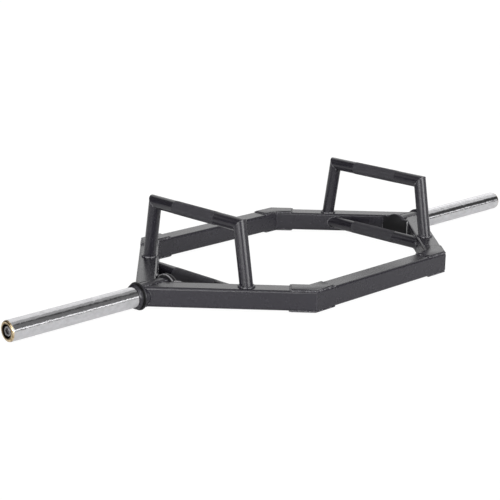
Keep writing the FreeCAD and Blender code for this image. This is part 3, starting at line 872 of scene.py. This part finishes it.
def seen_share(tree, straight, mirrored):
    """How much of a white background shows: one share to the camera's rays, another to mirrored rays."""
    path = add_node(tree, "ShaderNodeLightPath")
    either = add_node(tree, "ShaderNodeMath", operation="MAXIMUM")
    dimmed = add_node(tree, "ShaderNodeMath", operation="MULTIPLY")
    dimmed.inputs[1].default_value = mirrored
    seen = add_node(tree, "ShaderNodeMath", operation="MULTIPLY_ADD")
    seen.inputs[1].default_value = straight
    tree.links.new(path.outputs["Is Glossy Ray"], either.inputs[0])
    tree.links.new(path.outputs["Is Transmission Ray"], either.inputs[1])
    tree.links.new(either.outputs[0], dimmed.inputs[0])
    tree.links.new(path.outputs["Is Camera Ray"], seen.inputs[0])
    tree.links.new(dimmed.outputs[0], seen.inputs[2])
    return seen.outputs[0]


def make_floor():
    """A wide pale floor that takes the object's shadow."""
    mesh = bpy.data.meshes.new("floor")
    signs = ((-1, -1), (1, -1), (1, 1), (-1, 1))
    mesh.from_pydata([(x * FLOOR_REACH, y * FLOOR_REACH, 0) for x, y in signs], [], [(0, 1, 2, 3)])
    floor = bpy.data.objects.new("floor", mesh)
    bpy.context.scene.collection.objects.link(floor)
    material = bpy.data.materials.new("pale_floor")
    material.use_nodes = True
    tree = material.node_tree
    tree.nodes.clear()
    output = add_node(tree, "ShaderNodeOutputMaterial")
    matte = add_node(tree, "ShaderNodeBsdfDiffuse", Color=FLOOR_COLOUR)
    glow = add_node(tree, "ShaderNodeEmission", Color=WHITE, Strength=FLOOR_GLOW)
    mix = add_node(tree, "ShaderNodeMixShader")
    tree.links.new(seen_share(tree, *FLOOR_SEEN), mix.inputs["Fac"])
    tree.links.new(matte.outputs[0], mix.inputs[1])
    tree.links.new(glow.outputs[0], mix.inputs[2])
    tree.links.new(mix.outputs[0], output.inputs["Surface"])
    mesh.materials.append(material)


def window(tree, factor, low, high):
    """A smooth window on a factor: it opens between the two low limits and closes between the high ones."""
    opened = spread(tree, factor, *low, 0, 1, "SMOOTHSTEP")
    closed = spread(tree, factor, *high, 1, 0, "SMOOTHSTEP")
    both = add_node(tree, "ShaderNodeMath", operation="MULTIPLY")
    tree.links.new(opened, both.inputs[0])
    tree.links.new(closed, both.inputs[1])
    return both.outputs[0]


def sine(degrees):
    return math.sin(math.radians(degrees))


def sines_round(degrees, fade):
    """The sines just below and just above an angle."""
    return sine(degrees - fade), sine(degrees + fade)


def make_world():
    """A dim studio with soft zones of light, by direction alone, and white to the camera's rays."""
    world = bpy.data.worlds.new("studio")
    bpy.context.scene.world = world
    world.use_nodes = True
    tree = world.node_tree
    background = tree.nodes["Background"]
    source = add_node(tree, "ShaderNodeTexCoord")
    parts = add_node(tree, "ShaderNodeSeparateXYZ")
    tree.links.new(source.outputs["Generated"], parts.inputs[0])
    flat = add_node(tree, "ShaderNodeVectorMath", operation="MULTIPLY")
    flat.inputs[1].default_value = (1, 1, 0)
    tree.links.new(source.outputs["Generated"], flat.inputs[0])
    compass = add_node(tree, "ShaderNodeVectorMath", operation="NORMALIZE")
    tree.links.new(flat.outputs[0], compass.inputs[0])
    total = None
    for heading, half, low, high, strength in LIGHT_ZONES:
        toward = add_node(tree, "ShaderNodeVectorMath", operation="DOT_PRODUCT")
        toward.inputs[1].default_value = (sine(heading + 90), sine(heading), 0)
        tree.links.new(compass.outputs[0], toward.inputs[0])
        border = OPEN_LOW if half > 180 else sines_round(90 - half, FADE)
        bottom = sines_round(low, FADE / 2) if low else OPEN_LOW
        top = sines_round(high, FADE / 2) if high < 90 else OPEN_HIGH
        zone = add_node(tree, "ShaderNodeMath", operation="MULTIPLY")
        tree.links.new(window(tree, toward.outputs["Value"], border, OPEN_HIGH), zone.inputs[0])
        tree.links.new(window(tree, parts.outputs["Z"], bottom, top), zone.inputs[1])
        summed = add_node(tree, "ShaderNodeMath", operation="MULTIPLY_ADD")
        summed.inputs[1].default_value = strength
        tree.links.new(zone.outputs[0], summed.inputs[0])
        if total is None:
            summed.inputs[2].default_value = STUDIO_DARK
        else:
            tree.links.new(total, summed.inputs[2])
        total = summed.outputs[0]
    shown = add_node(tree, "ShaderNodeMix", data_type="FLOAT")
    tree.links.new(seen_share(tree, *WORLD_SEEN), shown.inputs["Factor"])
    tree.links.new(total, shown.inputs["A"])
    shown.inputs["B"].default_value = 1.0
    background.inputs["Color"].default_value = WHITE
    tree.links.new(shown.outputs["Result"], background.inputs["Strength"])


def make_camera():
    """The camera at the photograph's viewing angle."""
    level = math.cos(CAMERA_PITCH)
    forward = Vector((math.sin(CAMERA_YAW) * level, math.cos(CAMERA_YAW) * level, -math.sin(CAMERA_PITCH)))
    level_right = Vector((math.cos(CAMERA_YAW), -math.sin(CAMERA_YAW), 0))
    level_up = level_right.cross(forward)
    right = level_right * math.cos(CAMERA_ROLL) + level_up * math.sin(CAMERA_ROLL)
    up = level_up * math.cos(CAMERA_ROLL) - level_right * math.sin(CAMERA_ROLL)
    data = bpy.data.cameras.new("camera")
    data.sensor_fit = "HORIZONTAL"
    data.sensor_width = SENSOR_WIDTH
    data.lens = SENSOR_WIDTH * CAMERA_FOCAL / PICTURE_PIXELS
    data.clip_end = CAMERA_REACH
    camera = bpy.data.objects.new("camera", data)
    turn = Matrix((right, up, -forward)).transposed().to_4x4()
    camera.matrix_world = Matrix.Translation(CAMERA_PLACE) @ turn
    bpy.context.scene.collection.objects.link(camera)
    bpy.context.scene.camera = camera


make_floor()
make_world()
make_camera()
bpy.context.scene.view_settings.view_transform = "Standard"
